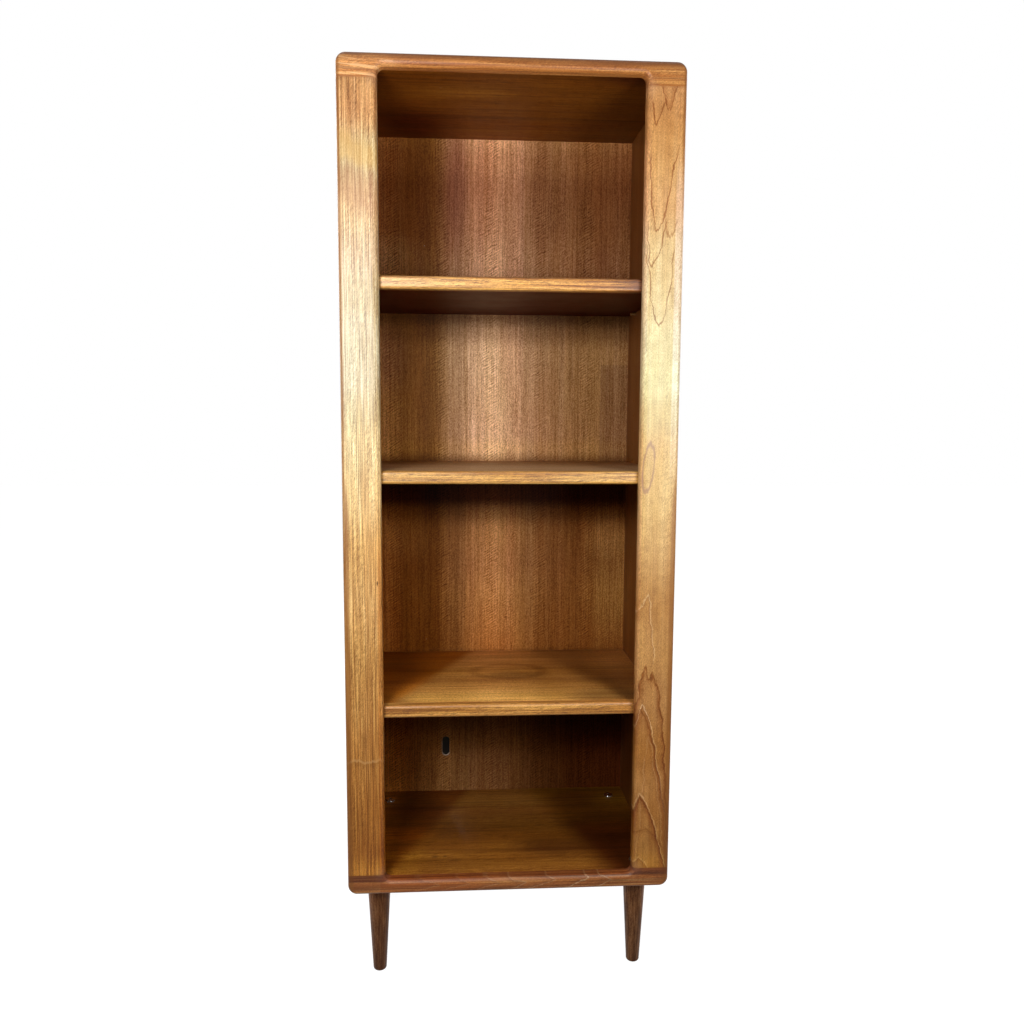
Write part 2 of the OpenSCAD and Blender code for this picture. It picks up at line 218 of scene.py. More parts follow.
def makePores():
    vector, slant, length, width, amount = startGroup(
        "pores", {"Vector": nowhere, "Slant": 0.35, "Length": 0.008, "Width": 0.0009, "Amount": 0.5})
    x, y, z = apart(vector)
    across = over(1.0, width)
    along = over(1.0, length)
    pores = noise(vector, (across, across, along), 1.0, 0.4)
    limit = minus(0.8, times(amount, 0.25))
    # paler and darker strokes that lean across the grain, in patches
    leaning = joined(minus(x, times(z, slant)), y, z)
    strokes = waver(leaning, (times(across, 0.42), times(across, 0.42), times(along, 1.1)))
    patches = ease(noise(vector, (60, 60, 3), 1.0), 0.38, 0.6)
    return finishGroup({"Pores": ease(pores, limit, plus(limit, 0.1)), "Flecks": times(strokes, patches)})


def makeRibbonFigure():
    vector, leafWidth, leafOffset, ribbonPlace, ribbonWidth, rowHeight, tilt = startGroup("ribbonFigure", {
        "Vector": nowhere, "Leaf Width": 0.108, "Leaf Offset": 0.0, "Ribbon Place": 0.05,
        "Ribbon Width": 0.022, "Row Height": 0.0062, "Tilt": 0.6})
    x, y, z = apart(vector)
    turns = over(plus(x, leafOffset), leafWidth)
    leaf = calc("FLOOR", turns)
    inLeaf = times(minus(turns, leaf), leafWidth)
    # neighbouring leaves were cut one after another, so they look alike
    dz = plus(z, times(leaf, 0.013))
    drifted = joined(inLeaf, times(leaf, 0.004), dz)
    tilted = joined(inLeaf, y, minus(dz, times(inLeaf, tilt)))
    turn = plus(over(apart(tilted)[2], rowHeight), waver(tilted, (55, 1, 90), 1.5))
    waves = calc("SINE", times(turn, math.tau))
    broken = ease(noise(tilted, (120, 1, 150), 0.0), 0.3, 0.62)
    sway = waver(drifted, (0, 9, 7), 0.02)
    side = absolute(minus(plus(inLeaf, sway), ribbonPlace))
    main = ease(side, ribbonWidth, times(ribbonWidth, 0.35))
    others = ease(noise(drifted, (70, 9, 6), 1.0), 0.48, 0.66)
    rows = ease(noise(drifted, (5, 9, 14), 1.0), 0.36, 0.55, 0.35, 1.0)
    columns = times(most(main, times(others, 0.6)), rows)
    return finishGroup({
        "Ripple": times(waves, broken, columns, 0.5),
        "Leaf Tone": waver(joined(times(leaf, 0.35), times(inLeaf, 34.0), times(z, 0.6)), 1.0),
        "Joint": ease(least(inLeaf, minus(leafWidth, inLeaf)), 0.0009, 0.0002),
    })


def makeGrowthLine():
    # one ring of a flat-sawn board: a pointed arch whose arms steepen away from its tip
    place, tip, way, leftSlope, rightSlope, spread, jag, *others = startGroup("growthLine", {
        "Vector": nowhere, "Tip": nowhere, "Way": 1.0, "Left Slope": 1.5, "Right Slope": 1.5, "Spread": 0.03,
        "Jag": 0.006, "Line Width": 0.0018, "Shade Length": 0.03, "Notch": 0.0, "Reach": 2.0})
    lineWidth, shadeLength, notch, reach = others
    x, y, z = apart(vectors("SUBTRACT", place, tip))
    x = plus(x, waver(place, (8, 1, 24), 0.014), waver(place, (40, 1, 130), 0.0045))
    teeth = plus(waver(place, (75, 1, 9), 1.5), waver(place, (300, 1, 55), detail=2.0))
    right = most(x, 0.0)
    left = most(times(x, -1.0), 0.0)
    side = plus(right, left)
    slope = plus(times(right, rightSlope), times(left, leftSlope))
    arm = times(slope, plus(1.0, over(side, spread)))
    split = times(notch, ease(side, 0.0085, 0.0))
    inside = plus(minus(minus(times(z, way), arm), split), times(teeth, jag))
    grade = over(arm, most(side, 0.0015))
    steepness = calc("SQRT", plus(1.0, times(grade, grade)))
    width = times(lineWidth, ease(noise(place, (60, 1, 35), 1.0), 0.3, 0.7, 0.55, 1.5))
    line = ease(over(absolute(inside), steepness), width, times(width, 0.15))
    within = over(inside, steepness)
    kept = ease(absolute(z), reach, times(reach, 0.7))
    shade = times(ease(within, shadeLength, 0.0), calc("GREATER_THAN", within, 0.0), kept)
    return finishGroup({"Line": times(line, kept), "Shade": shade})


def makeEdgeWear():
    place, low, high, width = startGroup(
        "edgeWear", {"Place": nowhere, "Low": nowhere, "High": (1.0, 1.0, 1.0), "Width": 0.004})
    fromLow = vectors("SUBTRACT", place, low)
    toHigh = vectors("SUBTRACT", high, place)
    dx, dy, dz = apart(vectors("MINIMUM", fromLow, toHigh))
    # an edge is where two of the three distances to the faces are small
    distance = least(least(most(dx, dy), most(dy, dz)), most(dx, dz))
    reach = times(width, ease(noise(place, 60.0, 3.0, 0.6), 0.3, 0.7, 0.4, 1.5))
    return finishGroup({"Edge": ease(distance, reach, times(reach, 0.2))})


def makeHandling():
    place, speckSize, spacing = startGroup(
        "handling", {"Place": nowhere, "Speck Size": 0.0008, "Speck Spacing": 0.04})
    cells = put("ShaderNodeTexVoronoi", {"Vector": place, "Scale": over(1.0, spacing)}).outputs
    size = times(speckSize, ease(apart(cells["Color"])[0], 0.45, 0.95))
    turn = {"Vector": place, "Rotation": (0.3, 0.5, 0.9), "Scale": (3.0, 42.0, 9.0)}
    contour = absolute(waver(first("ShaderNodeMapping", turn), 1.0))
    rare = ease(noise(place, 5.0, 1.0), 0.58, 0.66)
    return finishGroup({
        "Smudge": noise(place, 7.0, 4.0, 0.62),
        "Specks": calc("LESS_THAN", times(cells["Distance"], spacing), size),
        "Scratches": times(ease(contour, 0.0035, 0.0012), rare),
    })


streaks = makeStreaks()
pores = makePores()
ribbonFigure = makeRibbonFigure()
growthLine = makeGrowthLine()
edgeWear = makeEdgeWear()
handling = makeHandling()
print("shared effects built")

# wood

grainWays = {"up": (0, 1, 2), "upSide": (1, 0, 2), "sideways": (2, 1, 0), "flat": (1, 2, 0)}


def boxOf(names):
    lows, highs = zip(*(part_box(name) for name in names))
    return tuple(map(min, zip(*lows))), tuple(map(max, zip(*highs)))


def wood(name, names, look, extras):
    material, shader = startMaterial(name)
    place = objectPlace()
    parts = apart(place)
    turned = joined(*(parts[axis] for axis in grainWays[look["grain"]]))
    shift = look["shift"]
    vector = vectors("ADD", turned, (shift, 0.7 * shift, 1.9 * shift))
    low, high = boxOf(names)
    grain = effect(streaks, {"Vector": vector, "Width": look["streakWidth"], "Length": look["streakLength"],
                             "Wander": look["wander"]})
    marks = effect(pores, {"Vector": vector, "Slant": look["slant"], "Amount": look["poreAmount"],
                           "Length": look["poreLength"]})
    ribbons = effect(ribbonFigure, {"Vector": turned, "Leaf Width": look["leafWidth"],
                                    "Leaf Offset": look["leafOffset"], "Ribbon Place": look["ribbonPlace"],
                                    "Ribbon Width": look["ribbonWidth"]})
    use = effect(handling, {"Place": place})
    edges = effect(edgeWear, {"Place": place, "Low": low, "High": high, "Width": look["edgeWidth"]})
    # from the darkest streak to the palest
    ramp = put("ShaderNodeValToRGB", {"Fac": grain["Tone"]})
    stops = ramp.color_ramp.elements
    stops[0].color = (*look["dark"], 1.0)
    stops[1].color = (*look["light"], 1.0)
    stops.new(0.5).color = (*look["middle"], 1.0)
    cloud = noise(vector, (14, 14, 2.2))
    mottling = noise(vector, (62, 62, 40), 3.0, 0.6)
    colour = mixed(times(ease(cloud, 0.42, 0.68), look["redness"]), ramp.outputs[0], look["red"])
    colour = mixed(times(grain["Lines"], look["lines"]), colour, look["lineTint"])
    for arch, line, shade, tint in look["rings"]:
        shown = effect(growthLine, {"Vector": turned, **arch})
        colour = mixed(times(shown["Shade"], shade), colour, look["shadeRing"])
        colour = mixed(times(shown["Line"], line), colour, look[tint])
    lift = plus(
        1.0,
        times(minus(grain["Fibres"], 0.5), look["fibre"]),
        times(minus(grain["Stipple"], 0.5), look["stipple"]),
        times(minus(mottling, 0.5), look["mottle"]),
        times(marks["Flecks"], look["fleck"]),
        times(ribbons["Ripple"], look["ripple"]),
        times(ribbons["Leaf Tone"], look["leafTone"]),
    )
    colour = brightened(colour, lift)
    for mask, amount, tint in (
        (marks["Pores"], "pore", "poreTint"), (ribbons["Joint"], "joint", "poreTint"),
        (edges["Edge"], "edge", "edgeTint"), (use["Scratches"], "scratches", "light"),
    ):
        colour = mixed(times(mask, look[amount]), colour, look[tint])
    for extra in extras:
        colour = extra(place, colour)
    colour = mixed(times(use["Specks"], look["specks"]), colour, look["speckTint"])
    # satin where the finish fills the grain, duller in open pores, glossier on rubbed edges
    satin = ease(use["Smudge"], 0.3, 0.7, look["gloss"] - 0.04, look["gloss"] + 0.05)
    satin = plus(satin, times(marks["Pores"], 0.14), times(edges["Edge"], -0.04))
    height = minus(times(grain["Fibres"], 0.3), marks["Pores"])
    bump = first("ShaderNodeBump", {"Height": height, "Strength": look["bump"], "Distance": 0.0003})
    plug(shader, {"Base Color": colour, "Roughness": satin, "Normal": bump,
                  "Specular IOR Level": look["specular"]})
    paint(names, material)


solidTeak = {
    "grain": "up", "shift": 0.0, "streakWidth": 0.006, "streakLength": 0.35, "wander": 0.004, "slant": 0.35,
    "poreAmount": 0.5, "poreLength": 0.008, "leafWidth": 4.0, "leafOffset": 2.0, "ribbonPlace": 2.0,
    "ribbonWidth": 0.3, "dark": (0.3, 0.112, 0.022), "middle": (0.42, 0.175, 0.036),
    "light": (0.56, 0.285, 0.075), "redness": 0.45, "red": (0.4, 0.14, 0.026), "lines": 0.3,
    "lineTint": (0.66, 0.38, 0.12), "fibre": 0.45, "stipple": 0.35, "mottle": 0.1, "fleck": 0.9,
    "ripple": 0.0, "leafTone": 0.15, "pore": 0.6, "poreTint": (0.15, 0.055, 0.012), "joint": 0.0, "edge": 0.4,
    "edgeTint": (0.27, 0.085, 0.016), "edgeWidth": 0.005, "scratches": 0.2, "specks": 0.0,
    "speckTint": (0.62, 0.58, 0.52), "gloss": 0.4, "specular": 0.9, "bump": 0.12, "rings": (),
    "paleRing": (0.66, 0.38, 0.14), "darkRing": (0.24, 0.074, 0.013), "shadeRing": (0.3, 0.098, 0.017),
}
veneer = {
    **solidTeak, "streakWidth": 0.016, "streakLength": 1.2, "wander": 0.006, "slant": 0.2, "leafWidth": 0.108,
    "leafOffset": 0.05, "ribbonPlace": 0.03, "ribbonWidth": 0.024, "dark": (0.274, 0.099, 0.017),
    "middle": (0.3, 0.11, 0.02), "light": (0.326, 0.123, 0.0245), "red": (0.27, 0.078, 0.013), "lines": 0.1,
    "lineTint": (0.42, 0.18, 0.045), "fibre": 0.5, "stipple": 0.6, "fleck": 0.4, "ripple": 0.75,
    "leafTone": 0.5, "pore": 0.25, "poreTint": (0.07, 0.022, 0.005), "joint": 0.2, "edge": 0.3,
    "edgeTint": (0.36, 0.15, 0.04), "edgeWidth": 0.002, "specks": 0.6, "gloss": 0.44, "specular": 0.3,
    "bump": 0.08,
}
print("wood looks ready")

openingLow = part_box("bottom_rail")[1][2]
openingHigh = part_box("top_rail")[0][2]
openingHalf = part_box("right_stile")[0][0]
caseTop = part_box("top_rail")[1][2]
floorTop = 0.205
lowerShelfTop = 0.536
ceilingLevel = 1.66
backFace = 0.196
# the cable slot: its middle, and half the height of its straight part
slot = {"x": -0.123, "z": 0.312, "straight": 0.0145}


def distanceFrom(place, spot, sizes):
    # counted in the sizes given along x, y and z
    return lengthOf(vectors("DIVIDE", vectors("SUBTRACT", place, spot), sizes))


def near(place, spot, sizes):
    return ease(distanceFrom(place, spot, sizes), 1.0, 0.2)


def graded(measure, colour, stops):
    # multiplies a colour by factors that change smoothly along one measure
    low, high = stops[0][0], stops[-1][0]
    spot = first("ShaderNodeMapRange", {"Value": measure, "From Min": low, "From Max": high})
    ramp = put("ShaderNodeValToRGB", {"Fac": spot})
    ramp.color_ramp.interpolation = "EASE"
    elements = ramp.color_ramp.elements
    for at, *factors in stops[1:-1]:
        elements.new((at - low) / (high - low)).color = (*factors, 1.0)
    elements[0].color = (*stops[0][1:], 1.0)
    elements[-1].color = (*stops[-1][1:], 1.0)
    return tinted(1.0, colour, ramp.outputs[0])


# multiplies a colour along one axis; several tables given to it hold painted light and shade
def gradedAlong(axis, stops):
    return lambda place, colour: graded(apart(place)[axis], colour, stops)


def spotted(place, colour, flatAxis, level, deep, spots):
    # the spots lie in one plane; each has its middle, its reach and the factors for the colour there
    for across, along, wide, long, factors in spots:
        centre = [across, along]
        sizes = [wide, long]
        centre.insert(flatAxis, level)
        sizes.insert(flatAxis, deep)
        colour = tinted(near(place, centre, sizes), colour, factors)
    return colour


def paintedStileShadow(x, y, colour, edge, shade):
    # painted shadow of a stile on a board, darker beyond a slanting line towards its rear corner;
    # an edge holds its side, its slope, where it lies and how wide it is
    side, slope, limit, width = edge
    reach = plus(times(x, side), times(y, slope))
    return tinted(ease(reach, limit - width, limit + width), colour, shade)


def cornerSheen(place, colour):
    # painted pale-grey highlights on the round-overs at the corners of the opening
    x, y, z = apart(place)
    mirrored = joined(absolute(x), y, z)
    for height in (openingLow, openingHigh):
        sheenAmount = near(mirrored, (openingHalf + 0.002, -0.2, height), (0.024, 0.05, 0.024))
        colour = mixed(times(sheenAmount, 0.3), colour, (0.34, 0.18, 0.11))
    return colour


def shadedRim(place, colour):
    # painted shade on the outer round-overs, the top one most, the middle of the right one hardly
    x, y, z = apart(place)
    # low down the dark edge is wider, and on the left the inner edge is ruddy as well
    side = ease(plus(absolute(x), ease(z, 0.9, 0.97, 0.0042, 0.0)), 0.2915, 0.297)
    inner = times(ease(x, -0.2425, -0.2385), ease(x, 0.0, -0.1), ease(z, 0.92, 0.75))
    colour = tinted(inner, colour, (0.96, 0.82, 0.7))
    kept = plus(ease(z, 1.4, 1.55, 0.15, 0.7), ease(z, 1.0, 0.9, 0.0, 0.55))
    kept = most(kept, ease(x, 0.0, -0.1, 0.0, 0.68))
    kept = most(kept, ease(absolute(x), 0.2978, 0.2994, 0.0, 0.85))
    colour = mixed(times(side, kept), colour, (0.27, 0.095, 0.017))
    # painted shade along the top edge of the frame, whose rounding faces up away from the lamps
    crown = ease(z, caseTop - 0.016, caseTop - 0.002)
    return mixed(times(crown, 0.75), colour, (0.125, 0.04, 0.009))


def paintedMidHighlight(place, colour):
    # painted highlight: the stiles are lighter and golden at the height of the middle shelves, the right one
    # more, and their feet are ruddier
    x, y, z = apart(place)
    highlightAmount = times(ease(z, 0.62, 0.95), ease(z, 1.62, 1.42), ease(x, 0.3, -0.3, 1.0, 0.75))
    colour = tinted(highlightAmount, colour, (1.3, 1.75, 2.3))
    return tinted(ease(z, 0.72, 0.3), colour, (1.0, 0.83, 0.62))


# painted light and shade along the height of each stile
leftStileLightByHeight = [
    (0.22, 1.42, 1.5, 1.19), (0.27, 0.91, 0.84, 0.66), (0.33, 1.0, 1.01, 0.94), (0.41, 1.1, 1.17, 1.28),
    (0.48, 1.1, 1.16, 1.29), (0.56, 1.29, 1.47, 1.77), (0.64, 1.27, 1.5, 1.9), (0.72, 1.32, 1.5, 1.95),
    (0.83, 1.18, 1.23, 1.36), (0.92, 1.25, 1.46, 2.08), (1.01, 1.2, 1.56, 2.53), (1.08, 0.88, 1.18, 2.0),
    (1.14, 0.9, 1.3, 2.59), (1.2, 0.87, 1.23, 2.37), (1.27, 0.84, 1.11, 1.9), (1.35, 1.02, 1.23, 2.31),
    (1.43, 1.21, 1.41, 2.38), (1.51, 1.18, 1.73, 3.22), (1.58, 1.3, 1.4, 2.18), (1.64, 1.25, 1.41, 2.21),
]
rightStileLightByHeight = [
    (0.22, 1.39, 1.63, 1.5), (0.27, 1.0, 1.12, 1.31), (0.32, 1.04, 1.15, 1.43), (0.38, 1.17, 1.4, 2.11),
    (0.45, 1.02, 1.1, 1.23), (0.54, 1.15, 1.36, 2.05), (0.64, 1.28, 1.6, 2.3), (0.73, 1.01, 1.06, 1.2),
    (0.83, 1.08, 1.17, 1.47), (0.92, 1.08, 1.2, 1.52), (1.01, 1.0, 1.1, 1.31), (1.07, 0.91, 1.16, 1.54),
    (1.13, 1.01, 1.51, 2.39), (1.2, 1.03, 1.48, 2.51), (1.27, 1.04, 1.33, 2.14), (1.35, 1.14, 1.41, 2.3),
    (1.44, 1.08, 1.03, 1.38), (1.5, 1.18, 1.17, 1.5), (1.56, 1.25, 1.28, 1.65), (1.63, 1.4, 1.58, 2.55),
]
# the top rail is warm, and its left end is lighter like the stile below it
topRailTone = [
    (-0.3, 1.8, 2.0, 2.73), (-0.24, 1.75, 1.85, 2.47), (-0.18, 1.25, 1.08, 1.1), (0.2, 1.2, 1.09, 1.07),
    (0.3, 1.25, 1.18, 1.19),
]


def paintedEdgeHighlights(place, colour):
    # painted highlights on the round-overs of the right stile make them the palest part of it
    x, y, z = apart(place)
    outer = times(ease(x, 0.2835, 0.2865), ease(z, 0.92, 1.02), ease(z, 1.54, 1.44))
    inner = times(ease(x, 0.2375, 0.2345), ease(z, 0.4, 0.8), ease(z, 1.62, 1.5))
    colour = tinted(outer, colour, (1.15, 1.3, 1.9))
    return tinted(inner, colour, (1.28, 1.24, 1.5))


def crossFigure(place, colour):
    # a golden cross figure above a ruddier one, high on the left stile
    x, y, z = apart(place)
    level = joined(0.0, 0.0, plus(z, times(x, 0.25), waver(place, (45, 45, 20), 0.05, 2.0)))
    for height, reach, tint in ((1.388, 0.06, (0.36, 0.15, 0.07)), (1.45, 0.034, (0.66, 0.36, 0.09))):
        figure = near(level, (0.0, 0.0, height), (1.0, 1.0, reach))
        colour = mixed(times(figure, 0.5), colour, tint)
    # a thin pale wave low down, where the tree once healed
    scarHeight = 0.441
    wave = plus(z, waver(place, (70, 5, 5), 0.024, 2.0))
    scar = ease(absolute(minus(wave, scarHeight)), 0.0034, 0.0008)
    below = times(ease(wave, scarHeight, 0.437), ease(wave, 0.425, 0.437))
    colour = mixed(times(below, 0.3), colour, (0.24, 0.085, 0.02))
    colour = mixed(times(scar, 0.55), colour, (0.62, 0.34, 0.12))
    fleck = near(place, (-0.2395, -0.21, 0.77), (0.0022, 0.02, 0.0065))
    return mixed(times(fleck, 0.9), colour, (0.1, 0.038, 0.012))


def closedLoop(place, colour):
    # one ring of the right stile closes on itself, where the saw grazed its flat top
    x, y, z = apart(vectors("SUBTRACT", place, (0.2462, 0.0, 0.977)))
    reach = diagonal(over(minus(x, times(z, 0.09)), 0.0098), over(z, 0.042))
    outline = absolute(minus(plus(reach, waver(place, (220, 1, 60), 0.4, 2.0)), 1.0))
    return mixed(times(ease(outline, 0.2, 0.04), 0.85), colour, (0.26, 0.095, 0.03))


def cornerLines(place, colour):
    # close wavy grain at the left end of the top rail
    x, y, z = apart(place)
    lines = noise(joined(times(x, 9.0), 0.0, plus(times(z, 210.0), times(x, 22.0))), 1.0, 2.0, 0.6)
    leftEnd = ease(x, -0.17, -0.25)
    colour = mixed(times(ease(lines, 0.52, 0.62), leftEnd, 0.6), colour, (0.62, 0.36, 0.13))
    return mixed(times(ease(lines, 0.46, 0.38), leftEnd, 0.7), colour, (0.19, 0.068, 0.018))


def shadedUnderneath(factors):
    # painted shade on faces that look down
    return lambda place, colour: tinted(
        ease(apart(put("ShaderNodeNewGeometry").outputs["Normal"])[2], -0.4, -0.9), colour, factors)


def shadedInside(place, colour):
    # painted shade on the inner faces of the sides; the outer faces are lighter
    inner = ease(absolute(apart(place)[0]), 0.2865, 0.2855)
    return mixed(inner, brightened(colour, 1.25), brightened(colour, 0.72))


def paintedFrontLight(place, colour):
    # painted light: tops near the opening are golden
    x, y, z = apart(place)
    # the painted light falls in a wedge between the stiles, and stops under the shelf above
    wedge = plus(absolute(x), times(y, 0.36))
    lit = times(ease(y, 0.13, -0.06), ease(wedge, 0.2, 0.12))
    onShelf = ease(z, 0.3, 0.4)
    colour = tinted(times(lit, onShelf, ease(z, 0.62, 0.58)), colour, (2.0, 2.35, 2.3))
    return tinted(minus(1.0, onShelf), colour, (0.66, 0.62, 0.42))


def shelfMark(place, colour):
    # an old oval mark in the finish, a little behind the middle of the lower shelf
    away = distanceFrom(place, (0.01, 0.03, lowerShelfTop), (0.085, 0.06, 0.05))
    outline = ease(absolute(minus(away, 0.85)), 0.25, 0.02)
    return brightened(colour, ease(outline, 0.0, 1.0, 1.0, 0.78))


def lowerShelfLight(place, colour):
    # painted light and shade on the lower shelf: lighter at the front and the middle, painted stile shadows
    # at both sides, lit and shaded spots, and the filled middle of the oval mark
    x, y, z = apart(place)
    colour = graded(y, colour, [
        (-0.19, 1.3, 1.5, 1.9), (-0.14, 1.25, 1.5, 1.9), (-0.08, 0.85, 0.87, 1.0), (-0.03, 0.65, 0.64, 0.74),
        (0.04, 0.84, 0.82, 0.8), (0.12, 1.42, 1.52, 1.75), (0.19, 1.3, 1.35, 1.6)])
    colour = graded(x, colour, [
        (-0.25, 1.0, 1.0, 1.0), (-0.1, 1.02, 1.02, 1.02), (-0.03, 1.2, 1.22, 1.35), (0.03, 1.06, 1.06, 1.1),
        (0.08, 0.84, 0.81, 0.77), (0.16, 0.84, 0.82, 0.84), (0.2, 1.0, 1.0, 1.0), (0.25, 1.2, 1.2, 1.3)])
    leftShade = mixed(ease(y, 0.03, -0.05), (0.66, 0.44, 0.12), (1.3, 0.97, 0.46))
    colour = paintedStileShadow(x, y, colour, (-1.0, 0.433, 0.146, 0.018), leftShade)
    colour = paintedStileShadow(x, y, colour, (1.0, 0.433, 0.158, 0.02), (0.8, 0.78, 0.72))
    return spotted(place, colour, 2, lowerShelfTop, 0.05, [
        (0.2, -0.15, 0.12, 0.08, (0.5, 0.47, 0.5)), (0.09, -0.18, 0.13, 0.03, (1.4, 1.5, 1.6)),
        (0.02, 0.0, 0.1, 0.042, (0.64, 0.63, 0.62)), (-0.24, 0.015, 0.06, 0.06, (1.6, 1.6, 1.5)),
        (0.23, 0.05, 0.08, 0.11, (1.3, 1.35, 1.5)), (-0.23, -0.155, 0.07, 0.05, (0.62, 0.56, 0.6))])


# the middle shelf's top is much lighter towards the front
middleShelfByDepth = [(-0.19, 1.42, 2.25, 6.2), (0.05, 1.22, 1.75, 4.2), (0.19, 1.0, 1.15, 1.7)]


def floorAndCeilingLight(place, colour):
    # painted light and shade on the case floor and on the ceiling under the top panel; the top face keeps its
    # tone
    x, y, z = apart(place)
    floor = graded(y, colour, [
        (-0.19, 1.9, 2.0, 2.5), (-0.11, 1.7, 1.8, 1.8), (-0.04, 1.15, 1.15, 1.05), (0.02, 1.0, 1.0, 0.95),
        (0.09, 1.5, 1.6, 2.1), (0.15, 2.2, 2.6, 3.4), (0.19, 1.9, 2.2, 2.8)])
    floor = graded(x, floor, [
        (-0.27, 2.0, 2.3, 1.5), (-0.2, 1.15, 1.2, 1.0), (-0.15, 1.0, 1.0, 1.0), (0.27, 1.0, 1.0, 1.0)])
    rightShade = mixed(ease(y, -0.02, 0.12), (0.27, 0.17, 0.17), (0.75, 0.75, 0.3))
    floor = paintedStileShadow(x, y, floor, (-1.0, 0.42, 0.155, 0.02), (0.6, 0.42, 0.32))
    floor = paintedStileShadow(x, y, floor, (1.0, 0.3, 0.13, 0.036), rightShade)
    floor = spotted(place, floor, 2, floorTop, 0.05, [
        (0.1, -0.085, 0.13, 0.065, (0.5, 0.44, 0.55)), (0.23, 0.0, 0.1, 0.05, (1.8, 1.8, 1.6)),
        (0.16, 0.13, 0.1, 0.08, (0.6, 0.48, 0.7)), (-0.19, 0.12, 0.09, 0.1, (0.56, 0.52, 0.55)),
        (-0.23, -0.015, 0.11, 0.045, (1.9, 1.9, 1.7))])
    # painted shade at the ceiling's rear left and front right, painted light at its front middle
    ceiling = graded(x, colour, [(-0.27, 1.25, 1.6, 1.15), (0.05, 1.23, 1.65, 1.2), (0.27, 0.85, 1.2, 0.85)])
    ceiling = spotted(place, ceiling, 2, ceilingLevel, 0.1, [
        (-0.18, 0.12, 0.12, 0.17, (0.46, 0.26, 0.22)), (0.23, -0.17, 0.12, 0.06, (0.5, 0.35, 0.6)),
        (-0.08, -0.08, 0.13, 0.055, (1.35, 1.55, 1.8))])
    above = mixed(ease(z, 1.664, 1.668), ceiling, colour)
    return mixed(ease(z, 0.3, 0.4), floor, above)


def floorKnot(place, colour):
    # small twin knots near the front left of the case floor
    for x, size in ((-0.142, 0.01), (-0.122, 0.006)):
        spot = near(place, (x, -0.112, floorTop), (size, size * 0.8, 0.02))
        colour = mixed(times(spot, 0.6), colour, (0.1, 0.035, 0.008))
    return colour


def rawRearEdge(place, colour):
    raw = ease(apart(place)[1], 0.2094, 0.2098)
    layers = noise(place, (900, 900, 900), 3.0)
    return mixed(raw, colour, brightened((0.42, 0.28, 0.16), ease(layers, 0.3, 0.7, 0.75, 1.15)))


# painted light on the back between the shelves, and painted shadow behind and right below them
backLightByHeight = [
    (0.2, 1.3, 1.5, 1.6), (0.28, 1.2, 1.35, 1.4), (0.32, 0.9, 0.95, 0.8), (0.37, 0.45, 0.42, 0.3),
    (0.52, 0.9, 0.9, 0.75), (0.55, 1.45, 1.46, 1.25), (0.65, 1.26, 1.22, 1.01), (0.74, 1.1, 1.0, 0.86),
    (0.82, 1.27, 1.18, 0.98), (0.855, 0.85, 0.76, 0.58), (0.885, 0.2, 0.1, 0.05), (0.93, 0.15, 0.09, 0.05),
    (0.965, 0.8, 0.8, 0.8), (0.995, 1.88, 2.3, 2.8), (1.03, 1.68, 2.03, 2.76), (1.1, 1.52, 1.85, 2.44),
    (1.21, 1.52, 1.91, 2.59), (1.25, 0.97, 1.13, 1.44), (1.285, 0.4, 0.4, 0.42), (1.32, 0.84, 0.88, 1.12),
    (1.39, 1.52, 1.67, 2.22), (1.49, 1.13, 1.1, 1.35), (1.56, 1.03, 0.93, 1.1), (1.62, 1.4, 1.35, 1.6),
    (1.66, 1.8, 1.9, 2.3),
]
# painted light across the back: darker in the stiles' shadows, lighter where both lamps reach
backLightAcross = [
    (-0.25, 1.32, 1.4, 1.4), (-0.21, 0.83, 0.81, 0.65), (-0.15, 0.44, 0.37, 0.19), (-0.1, 0.6, 0.58, 0.57),
    (-0.06, 1.07, 1.14, 1.34), (-0.02, 1.18, 1.27, 1.5), (0.03, 1.15, 1.26, 1.55), (0.06, 0.76, 0.78, 0.84),
    (0.09, 0.59, 0.55, 0.51), (0.12, 0.73, 0.74, 0.7), (0.15, 0.9, 0.98, 1.08), (0.2, 0.95, 1.12, 1.4),
    (0.28, 0.96, 1.13, 1.5),
]
lowBackLightAcross = [
    (-0.25, 2.5, 2.8, 2.5), (-0.17, 1.6, 1.85, 2.5), (-0.05, 1.3, 1.6, 2.6), (0.03, 1.05, 1.15, 1.7),
    (0.09, 0.52, 0.46, 0.5), (0.28, 0.55, 0.4, 0.52),
]
# painted light where it got in past the stiles, and painted shade where it did not
backLightSpots = [
    (0.28, 0.7, 0.13, 0.19, (1.4, 1.7, 1.9)), (0.24, 0.8, 0.07, 0.07, (1.3, 1.4, 1.6)),
    (-0.2, 0.8, 0.09, 0.08, (1.25, 1.4, 1.8)), (-0.23, 1.39, 0.11, 0.09, (1.4, 1.75, 2.4)),
    (-0.24, 1.2, 0.07, 0.12, (0.72, 0.66, 0.85)), (0.22, 1.39, 0.1, 0.08, (0.82, 0.77, 0.85)),
]


